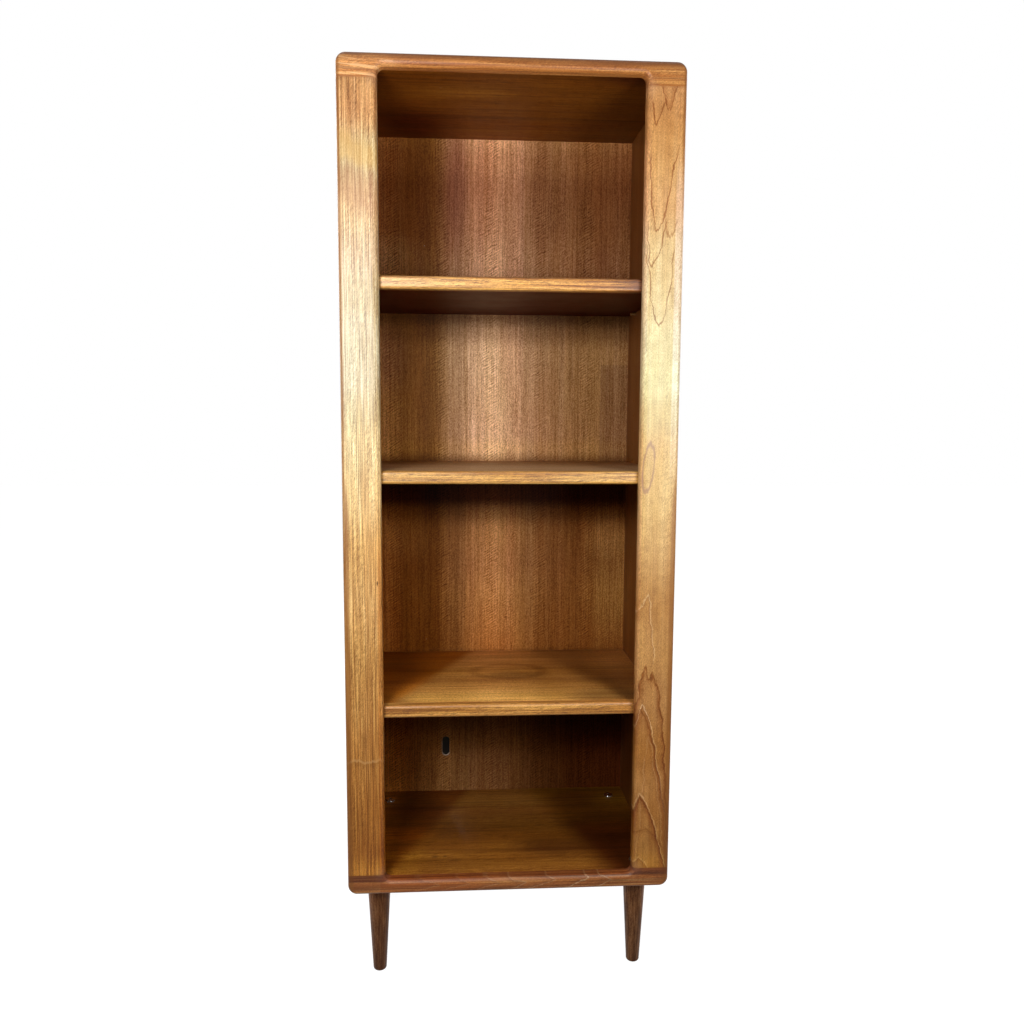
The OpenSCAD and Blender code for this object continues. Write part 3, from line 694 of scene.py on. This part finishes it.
def backBoard(place, colour):
    # painted light: the middle of the back, lit past both stiles, is paler; it is darker low down, and has a
    # painted pinkish sheen high up left of the middle
    x, y, z = apart(place)
    middle = times(ease(x, -0.2, -0.12), ease(x, 0.19, 0.1))
    low = ease(z, 0.75, 0.45)
    pinkSheen = near(place, (-0.096, backFace, 1.56), (0.04, 0.05, 0.21))
    for amount, factors in (
        (minus(1.0, middle), (0.92, 0.8, 0.66)), (times(middle, minus(1.0, low)), (1.25, 1.42, 1.9)),
        (low, (0.8, 0.66, 0.5)), (pinkSheen, (0.84, 0.72, 0.82)),
    ):
        colour = tinted(amount, colour, factors)
    colour = tinted(1.0, graded(z, colour, backLightByHeight), (1.0, 1.05, 1.4))
    colour = mixed(ease(z, 0.45, 0.55), graded(x, colour, lowBackLightAcross), graded(x, colour, backLightAcross))
    colour = spotted(place, colour, 1, backFace, 0.1, backLightSpots)
    # painted shadow of the right stile, a crisp-edged darker area on the right above the middle shelf
    stileShadowPatch = times(ease(x, 0.2232, 0.225), ease(z, 1.1843, 1.1823), ease(z, 0.93, 0.96))
    colour = tinted(stileShadowPatch, colour, (0.8, 0.78, 0.84))
    # the rear face is bare hardboard
    flock = ease(noise(place, 700.0, 4.0, 0.7), 0.25, 0.75, 0.7, 1.25)
    bare = brightened((0.3, 0.17, 0.085), plus(flock, waver(place, 9.0, 0.3, 3.0)))
    colour = mixed(ease(y, 0.1983, 0.1986), colour, bare)
    # and so is a raw rim round the cable slot
    across = minus(x, slot["x"])
    along = minus(z, slot["z"])
    beyond = most(minus(absolute(along), slot["straight"]), 0.0)
    away = diagonal(absolute(across), beyond)
    rim = ease(plus(away, waver(place, 400.0, 0.0016, 2.0)), 0.0108, 0.0092)
    lowLeft = ease(plus(across, along), 0.018, -0.01, 0.1, 0.6)
    return mixed(times(rim, lowLeft), colour, (0.36, 0.24, 0.15))


# painted light on the legs near the case, lifting the case's shadow off their tops
legTopLight = [(0.0, 1.12, 1.12, 1.0), (0.07, 1.25, 1.25, 1.1), (0.185, 2.4, 2.4, 2.1)]
# painted shade makes the top edge of the bottom rail the darkest part of it
bottomRailTopShade = [(0.185, 1.1, 1.14, 1.3), (0.206, 1.1, 1.14, 1.3), (0.21, 0.76, 0.64, 0.7)]


def shadedTopEdge(place, colour):
    # painted shade on the top edge of the upper lipping
    return tinted(ease(apart(place)[2], 1.3075, 1.3125), colour, (0.55, 0.5, 0.55))


def ring(x, z, left, right, way=-1.0, pale=False, line=0.85, shade=0.3, width=0.0018, fade=0.012, jag=0.006,
         spread=0.03, notch=0.0, reach=2.0):
    # a growth ring's tip and the slopes of its arms; a spread below 0.01 makes it narrow
    arch = {"Tip": (x, 0.0, z), "Way": way, "Left Slope": left, "Right Slope": right, "Line Width": width,
            "Shade Length": fade, "Jag": jag, "Spread": spread, "Notch": notch, "Reach": reach}
    return arch, line, shade, "paleRing" if pale else "darkRing"


narrow = {"way": 1.0, "spread": 0.0004}
rightStileRings = [
    ring(0.2702, 1.595, 0.1, 0.1, shade=0.6, fade=0.024, jag=0.022, width=0.0022, **narrow),
    ring(0.2463, 1.57, 5.7, 1.5, 1.0, shade=0.45, fade=0.006, width=0.0022, reach=0.045),
    ring(0.2512, 1.3946, 0.3, 0.045, shade=0.5, fade=0.006, jag=0.016, width=0.0028, reach=0.15, **narrow),
    ring(0.2771, 1.379, 0.1, 0.1, shade=0.7, fade=0.01, line=0.6, jag=0.03, width=0.0034, reach=0.035,
         **narrow),
    ring(0.2437, 1.33, 0.5, 0.045, shade=0.6, fade=0.005, jag=0.01, width=0.0028, reach=0.085, **narrow),
    ring(0.2559, 1.231, 0.12, 0.06, shade=0.4, fade=0.004, jag=0.01, width=0.0024, reach=0.16, **narrow),
    ring(0.25, 0.742, 0.4, 2.0, pale=True, line=0.5, shade=0.6, jag=0.018, width=0.0026, spread=0.004,
         reach=0.14),
    ring(0.2564, 0.616, 0.5, 0.7, line=0.9, shade=0.9, fade=0.02, jag=0.04, width=0.004, spread=0.004,
         notch=0.02),
    ring(0.244, 0.5404, 2.6, 1.84, pale=True, line=0.8, shade=0.95, width=0.0022, fade=0.02),
    ring(0.24, 0.53, 2.6, 1.5, line=0.8, width=0.003),
    ring(0.256, 0.479, 9.0, 3.2, pale=True, line=0.3),
    ring(0.2422, 0.3671, 2.4, 1.05, pale=True, line=0.8, shade=0.95, width=0.0024, fade=0.02),
    ring(0.2422, 0.36, 2.4, 1.05, width=0.0028),
    ring(0.2548, 0.3, 0.2, 0.5, line=0.4, shade=0.4, width=0.003, fade=0.01),
    ring(0.2447, 0.2438, 0.7, 0.8, pale=True, line=0.6, shade=0.9, fade=0.01),
]
# along the rails the arches lie on their sides, so x is the height and z the place along the rail
bottomRailRings = [
    ring(height, along, left, right, pale=True, line=line, shade=shade)
    for height, along, left, right, line, shade in (
        (0.2, -0.13, 3.0, 3.0, 0.3, 0.4), (0.202, -0.075, 3.0, 2.4, 0.3, 0.4),
        (0.2, -0.02, 2.6, 2.4, 0.4, 0.4), (0.201, 0.03, 2.2, 2.2, 0.4, 0.5),
        (0.203, 0.085, 2.0, 2.0, 0.5, 0.5), (0.206, 0.15, 1.6, 1.6, 0.85, 0.5),
        (0.2, 0.19, 1.4, 1.6, 0.75, 0.5))
]
railTeak = {**solidTeak, "grain": "sideways"}
shelfVeneer = {**veneer, "grain": "flat", "leafWidth": 0.4, "leafOffset": 0.2, "ripple": 0.0, "specular": 0.1}
# painted shade under the shelves
undersideShade = shadedUnderneath((0.21, 0.045, 0.003))
pieceLooks = {
    "leftStileTeak": (["left_stile"], {
        **solidTeak, "shift": 1.3, "streakWidth": 0.003, "specular": 0.45, "lines": 0.5, "fleck": 1.1,
        "fibre": 1.0, "dark": (0.375, 0.152, 0.033), "light": (0.48, 0.224, 0.053), "redness": 0.3},
        (paintedMidHighlight, gradedAlong(2, leftStileLightByHeight), crossFigure, shadedRim, cornerSheen)),
    "rightStileTeak": (["right_stile"], {
        **solidTeak, "shift": 2.1, "specular": 0.45, "streakWidth": 0.03, "streakLength": 0.4, "lines": 0.05,
        "fleck": 0.9, "dark": (0.4, 0.165, 0.036), "light": (0.47, 0.215, 0.052), "redness": 0.3,
        "fibre": 0.2, "stipple": 0.34, "mottle": 0.6, "darkRing": (0.19, 0.046, 0.005),
        "rings": rightStileRings},
        (closedLoop, paintedMidHighlight, gradedAlong(2, rightStileLightByHeight), paintedEdgeHighlights, shadedRim, cornerSheen)),
    "topRailTeak": (["top_rail"], {
        **railTeak, "shift": 3.7, "specular": 0.5, "dark": (0.23, 0.078, 0.017),
        "middle": (0.36, 0.136, 0.028), "light": (0.49, 0.228, 0.058)},
        (cornerLines, gradedAlong(0, topRailTone), shadedRim, cornerSheen)),
    "bottomRailTeak": (["bottom_rail"], {
        **railTeak, "shift": 4.9, "specular": 0.45, "dark": (0.19, 0.06, 0.014),
        "middle": (0.35, 0.105, 0.021), "light": (0.46, 0.165, 0.038), "red": (0.36, 0.09, 0.017),
        "darkRing": (0.14, 0.046, 0.013), "shadeRing": (0.2, 0.06, 0.014), "paleRing": (0.5, 0.27, 0.11),
        "rings": bottomRailRings}, (shadedRim, cornerSheen, gradedAlong(2, bottomRailTopShade))),
    "sideVeneer": (["left_side_panel", "right_side_panel"], {
        **veneer, "grain": "upSide", "shift": 5.3, "leafWidth": 0.14, "leafOffset": 0.03, "ripple": 0.4},
        (shadedInside, rawRearEdge)),
    "caseVeneer": (["top_panel", "bottom_panel"], {
        **veneer, "grain": "flat", "shift": 6.1, "leafWidth": 0.2, "ripple": 0.0, "leafOffset": 0.1,
        "streakWidth": 0.03, "lines": 0.5, "lineTint": (0.16, 0.05, 0.008), "fleck": 1.2, "poreLength": 0.02,
        "poreAmount": 0.8, "pore": 0.5, "specular": 0.12},
        (paintedFrontLight, floorAndCeilingLight, shadedUnderneath((0.6, 0.36, 0.22)), floorKnot, rawRearEdge)),
    "backVeneer": (["back_panel"], {**veneer, "shift": 7.7, "specular": 0.05}, (backBoard,)),
    "lowerShelfVeneer": (["lower_shelf_board"], {**shelfVeneer, "shift": 8.2},
                         (paintedFrontLight, shelfMark, lowerShelfLight, undersideShade)),
    "middleShelfVeneer": (["middle_shelf_board"], {**shelfVeneer, "shift": 9.4},
                          (gradedAlong(1, middleShelfByDepth), undersideShade)),
    "upperShelfVeneer": (["upper_shelf_board"], {**shelfVeneer, "shift": 10.6}, (undersideShade,)),
    "legTeak": ([name for name in nodes if name.endswith("_leg")], {
        **solidTeak, "shift": 15.2, "dark": (0.085, 0.03, 0.011), "middle": (0.135, 0.052, 0.02),
        "light": (0.185, 0.078, 0.034), "red": (0.13, 0.045, 0.016), "lineTint": (0.21, 0.095, 0.045),
        "poreTint": (0.022, 0.009, 0.004), "edge": 0.0, "specular": 0.15, "fibre": 0.9},
        (gradedAlong(2, legTopLight),)),
    "pegBeech": (["frame_dowels", "frame_pegs", "corner_splines"], {
        **railTeak, "shift": 16.4, "dark": (0.5, 0.33, 0.2), "middle": (0.6, 0.42, 0.26),
        "light": (0.68, 0.5, 0.33), "red": (0.6, 0.38, 0.24), "lineTint": (0.7, 0.54, 0.38),
        "poreTint": (0.36, 0.2, 0.11), "edge": 0.0, "specular": 0.4}, ()),
}
# the lippings' tone along their length, with painted shadow of the right stile at the right end of the upper
# one
for level, shift, toneAndShadow in (
    ("lower", 11.1, [(-0.24, 1.18, 1.06, 0.96), (0.24, 1.16, 1.04, 0.94)]),
    ("middle", 12.5, [(-0.24, 1.1, 1.2, 1.18), (0.24, 1.1, 1.18, 1.14)]),
    ("upper", 13.9, [(-0.24, 1.16, 1.22, 1.28), (0.08, 1.22, 1.15, 1.08), (0.16, 0.95, 0.82, 0.76),
                     (0.24, 0.31, 0.17, 0.13)]),
):
    pieceLooks[level + "LippingTeak"] = ([level + "_shelf_lipping"], {
        **railTeak, "shift": shift, "poreAmount": 0.8, "edge": 0.35, "specular": 0.7,
        "middle": (0.45, 0.21, 0.04), "light": (0.6, 0.33, 0.085), "dark": (0.31, 0.125, 0.022),
        "edgeTint": (0.5, 0.24, 0.07), "lines": 0.35, "fleck": 1.0, "fibre": 0.9, "pore": 1.0,
        "poreLength": 0.016}, (gradedAlong(0, toneAndShadow), shadedTopEdge))
for title, recipe in pieceLooks.items():
    wood(title, *recipe)
print("wood finished,", len(pieceLooks), "materials")

# back panel screws, turned from one profile and set on the places of the plain ones

screwSizes = {
    "Head Radius": 0.0032, "Head Height": 0.0019, "Shank Radius": 0.0014, "Length": 0.0155,
    "Thread Pitch": 0.0016, "Recess Width": 0.0009, "Recess Reach": 0.0042, "Recess Depth": 0.0013,
}
screwSeed = 7


def placed(name, data):
    piece = bpy.data.objects.new(name, data)
    bpy.context.scene.collection.objects.link(piece)
    return piece


def screwPlaces():
    # each plain screw is one loose island; its head's top lies nearest the rear
    shape = bmesh.new()
    shape.from_mesh(nodes["back_screws"].data)
    bmesh.ops.remove_doubles(shape, verts=shape.verts, dist=1e-5)
    rear = max(vert.co.y for vert in shape.verts)
    left = {vert for vert in shape.verts if vert.co.y > rear - 1e-5}
    places = []
    while left:
        rim = [left.pop()]
        for vert in rim:
            beside = {edge.other_vert(vert) for edge in vert.link_edges} & left
            rim.extend(beside)
            left -= beside
        places.append(sum((vert.co for vert in rim), Vector()) / len(rim))
    shape.free()
    return sorted(places, key=lambda place: (round(place.z, 3), round(place.x, 3)))


def buildScrewTree():
    tree = bpy.data.node_groups.new("crossHeadScrews", "GeometryNodeTree")
    bench["tree"] = tree
    tree.interface.new_socket("Geometry", in_out="INPUT", socket_type="NodeSocketGeometry")
    for title, value in screwSizes.items():
        tree.interface.new_socket(title, in_out="INPUT", socket_type="NodeSocketFloat").default_value = value
    tree.interface.new_socket("Seed", in_out="INPUT", socket_type="NodeSocketInt").default_value = screwSeed
    tree.interface.new_socket("Material", in_out="INPUT", socket_type="NodeSocketMaterial")
    tree.interface.new_socket("Geometry", in_out="OUTPUT", socket_type="NodeSocketGeometry")
    given = put("NodeGroupInput").outputs
    length, head = given["Length"], given["Head Height"]
    axis = first("GeometryNodeCurvePrimitiveLine", {
        "Start": joined(0.0, 0.0, times(length, -1.0)), "End": joined(0.0, 0.0, head)})
    axis = first("GeometryNodeResampleCurve", {"Curve": axis, "Count": 96})
    z = apart(first("GeometryNodeInputPosition"))[2]
    # a low dome above, a ridged shank with a point below
    up = over(most(z, 0.0), head)
    dome = times(given["Head Radius"], calc("SQRT", minus(1.0, times(up, up, 0.66))))
    turn = calc("FRACT", over(z, given["Thread Pitch"]))
    ridge = minus(1.12, times(absolute(minus(turn, 0.5)), 0.5))
    point = ease(z, times(length, -1.0), times(length, -0.8), 0.2, 1.0)
    shank = times(given["Shank Radius"], ridge, point)
    above = calc("GREATER_THAN", z, -0.00005)
    radius = plus(times(dome, above), times(shank, minus(1.0, above)))
    circle = first("GeometryNodeCurvePrimitiveCircle", {"Resolution": 20, "Radius": 1.0})
    body = first("GeometryNodeCurveToMesh", {
        "Curve": axis, "Profile Curve": circle, "Scale": radius, "Fill Caps": True})
    # a cross recess, one slit each way
    wide, reach = given["Recess Width"], given["Recess Reach"]
    for sizes in ((wide, reach), (reach, wide)):
        slit = first("GeometryNodeMeshCube", {"Size": joined(*sizes, times(given["Recess Depth"], 2.0))})
        slit = first("GeometryNodeTransform", {"Geometry": slit, "Translation": joined(0.0, 0.0, head)})
        body = first("GeometryNodeMeshBoolean", {"Mesh 1": body, "Mesh 2": slit}, operation="DIFFERENCE")
    spin = put("FunctionNodeRandomValue", {2: 0.0, 3: math.pi, "Seed": given["Seed"]}, data_type="FLOAT")
    facing = first("FunctionNodeEulerToRotation", {0: joined(-math.pi / 2, spin.outputs[1], 0.0)})
    screws = first("GeometryNodeInstanceOnPoints", {
        "Points": given["Geometry"], "Instance": body, "Rotation": facing})
    screws = first("GeometryNodeRealizeInstances", {0: screws})
    screws = first("GeometryNodeSetMaterial", {"Geometry": screws, "Material": given["Material"]})
    put("NodeGroupOutput", {0: screws})
    return tree


def makeBackScrews(material):
    places = screwPlaces()
    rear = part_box("back_panel")[1][1]
    seeds = bpy.data.meshes.new("screwPlaces")
    seeds.from_pydata([(place.x, rear, place.z) for place in places], [], [])
    holder = placed("screwPlaces", seeds)
    modifier = holder.modifiers.new("screws", "NODES")
    modifier.node_group = buildScrewTree()
    sockets = {item.name: item.identifier for item in modifier.node_group.interface.items_tree
               if item.in_out == "INPUT"}
    for title, value in {**screwSizes, "Seed": screwSeed, "Material": material}.items():
        modifier[sockets[title]] = value
    evaluated = holder.evaluated_get(bpy.context.evaluated_depsgraph_get())
    screws = placed("crossHeadScrews", bpy.data.meshes.new_from_object(evaluated))
    holder.modifiers.remove(modifier)
    bpy.data.objects.remove(holder)
    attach(screws, "case")
    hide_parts("back_screws")
    print("screws set,", len(places))


# metal


def metal(name, names, look):
    material, shader = startMaterial(name)
    place = objectPlace()
    use = effect(handling, {"Place": place, "Speck Size": 0.0003, "Speck Spacing": 0.004})
    tarnishAndReflection = ease(noise(place, look["patchScale"], 4.0, 0.6), 0.4, 0.68)
    colour = mixed(times(tarnishAndReflection, look["tarnishAndReflection"]), look["colour"], look["dullAndReflection"])
    colour = mixed(times(use["Specks"], 0.6), colour, look["dullAndReflection"])
    rough = ease(use["Smudge"], 0.3, 0.7, look["gloss"], look["gloss"] + 0.14)
    turning = noise(place, (500, 500, 4200))
    bump = first("ShaderNodeBump", {"Height": turning, "Strength": 0.08, "Distance": 0.0001})
    plug(shader, {"Base Color": colour, "Roughness": plus(rough, times(tarnishAndReflection, 0.12)), "Normal": bump,
                  "Metallic": 1.0})
    paint(names, material)
    return material


# on the chrome bolts the near-black patches are painted dark reflections; on the zinc and brass they are
# tarnish
metalLooks = {
    "chromeBolts": (["leg_bolts"], {
        "colour": (0.95, 0.95, 0.95), "dullAndReflection": (0.05, 0.045, 0.04), "tarnishAndReflection": 0.5, "patchScale": 380.0,
        "gloss": 0.1}),
    "zincScrews": (["back_screws"], {
        "colour": (0.62, 0.62, 0.58), "dullAndReflection": (0.4, 0.36, 0.28), "tarnishAndReflection": 0.6, "patchScale": 420.0,
        "gloss": 0.32}),
    "brassPins": ([name for name in nodes if "_pin_" in name] + ["leg_inserts"], {
        "colour": (0.62, 0.44, 0.18), "dullAndReflection": (0.24, 0.14, 0.05), "tarnishAndReflection": 0.6, "patchScale": 260.0,
        "gloss": 0.24}),
}
metals = {title: metal(title, *recipe) for title, recipe in metalLooks.items()}
print("metal finished,", len(metals), "materials")
makeBackScrews(metals["zincScrews"])

# studio

studio = {
    "floorSize": 24.0,
    "floorColour": (0.2, 0.2, 0.2),
    "floorGlow": 0.94,
    "fill": 0.015,
    # the card is painted shade, seen through the cable slot
    "card": {"colour": (0.008, 0.008, 0.007), "middle": (-0.123, 0.206, 0.3125), "across": (0.02, 0.0, 0.0),
             "up": (0.0, 0.0, 0.0325)},
    # a lamp's place, the spot it faces, its width and height, and its power
    "lamps": {
        "leftLamp": ((-0.36, -0.9, 1.28), (-0.1, -0.2, 1.1), (0.22, 0.3), 4.0),
        "rightLamp": ((0.44, -0.9, 1.16), (0.1, -0.2, 1.1), (0.22, 0.3), 3.7),
        "leftLowLamp": ((-0.4, -1.13, 0.85), (-0.2, -0.2, 0.8), (0.2, 0.3), 0.9),
        "rightLowLamp": ((0.5, -1.13, 0.82), (0.2, -0.2, 0.8), (0.2, 0.3), 1.2),
        "mainLamp": ((-0.53, -1.7, 1.38), (-0.1, -0.2, 1.1), (0.25, 0.25), 7.5),
        "topLeftLamp": ((-0.75, -1.4, 3.0), (0.0, -0.1, 0.7), (0.4, 0.4), 7.0),
        "topRightLamp": ((0.75, -1.4, 3.0), (0.0, -0.1, 0.7), (0.4, 0.4), 7.0),
        "leftSideLamp": ((-2.7, 0.7, 1.5), (0.0, 0.1, 0.9), (1.4, 1.8), 42.0),
        "rightSideLamp": ((2.7, 0.7, 1.5), (0.0, 0.1, 0.9), (1.4, 1.8), 42.0),
        "rearLamp": ((-1.2, 2.8, 2.2), (0.0, 0.2, 0.8), (1.6, 1.6), 70.0),
    },
    "camera": {"place": (-0.101, -1.775, 1.066), "yaw": 3.72, "pitch": -6.11, "roll": -0.28, "lens": 31.02},
}


def whiteFor(forward, dimFrom, dimTo):
    # white for the camera; mirrored and refracted rays see it too, dimmer towards the room in front
    path = put("ShaderNodeLightPath").outputs
    bounced = most(path["Is Glossy Ray"], path["Is Transmission Ray"])
    return most(path["Is Camera Ray"], times(bounced, ease(forward, dimFrom, dimTo, 0.06, 1.0)))


def plane(name, middle, across, up, material):
    ways = ((-1, -1), (1, -1), (1, 1), (-1, 1))
    corners = [Vector(middle) + side * Vector(across) + rise * Vector(up) for side, rise in ways]
    mesh = bpy.data.meshes.new(name)
    mesh.from_pydata(corners, [], [(0, 1, 2, 3)])
    mesh.materials.append(material)
    piece = placed(name, mesh)
    return piece


def buildFloor():
    material, shader = startMaterial("paleFloor")
    place = objectPlace()
    white = whiteFor(apart(place)[1], -0.9, 0.2)
    glow = times(white, ease(lengthOf(place), 0.7, 2.6, studio["floorGlow"], 1.0))
    plug(shader, {"Base Color": (*studio["floorColour"], 1.0), "Roughness": 0.9, "Specular IOR Level": 0.0,
                  "Emission Color": (1.0, 1.0, 1.0, 1.0), "Emission Strength": glow})
    half = studio["floorSize"] / 2
    plane("floor", nowhere, (half, 0.0, 0.0), (0.0, half, 0.0), material)


def buildDarkCard():
    # a near-black card behind the cable slot is painted shade seen through it; nothing is seen of the card
    # from behind
    material, shader = startMaterial("paintedShadeCard")
    look = studio["card"]
    front = minus(1.0, put("ShaderNodeNewGeometry").outputs["Backfacing"])
    plug(shader, {"Base Color": (*look["colour"], 1.0), "Roughness": 0.9, "Alpha": front})
    card = plane("shadeCardBehindSlot", look["middle"], look["across"], look["up"], material)
    card.visible_shadow = card.visible_diffuse = card.visible_glossy = False


def buildWorld():
    world = bpy.data.worlds.new("studioWorld")
    bpy.context.scene.world = world
    world.use_nodes = True
    bench["tree"] = world.node_tree
    forward = apart(put("ShaderNodeTexCoord").outputs["Generated"])[1]
    plug(world.node_tree.nodes["Background"], {
        "Color": (1.0, 1.0, 1.0, 1.0), "Strength": most(whiteFor(forward, -0.5, 0.1), studio["fill"])})


def buildLamp(name, place, target, sizes, power):
    data = bpy.data.lights.new(name, "AREA")
    data.shape = "RECTANGLE"
    data.size, data.size_y = sizes
    data.energy = power
    lamp = placed(name, data)
    away = Vector(place) - Vector(target)
    lamp.matrix_world = Matrix.Translation(place) @ away.to_track_quat("Z", "Y").to_matrix().to_4x4()
    lamp.visible_camera = False


def buildCamera():
    look = studio["camera"]
    data = bpy.data.cameras.new("camera")
    data.lens = look["lens"]
    data.sensor_width = 36.0
    camera = placed("camera", data)
    aim = Matrix.Translation(look["place"])
    for angle, axis in ((-look["yaw"], "Z"), (90 + look["pitch"], "X"), (-look["roll"], "Z")):
        aim = aim @ Matrix.Rotation(math.radians(angle), 4, axis)
    camera.matrix_world = aim
    bpy.context.scene.camera = camera


buildFloor()
buildDarkCard()
buildWorld()
for title, lamp in studio["lamps"].items():
    buildLamp(title, *lamp)
buildCamera()
bpy.context.scene.view_settings.view_transform = "Standard"
print("studio ready")
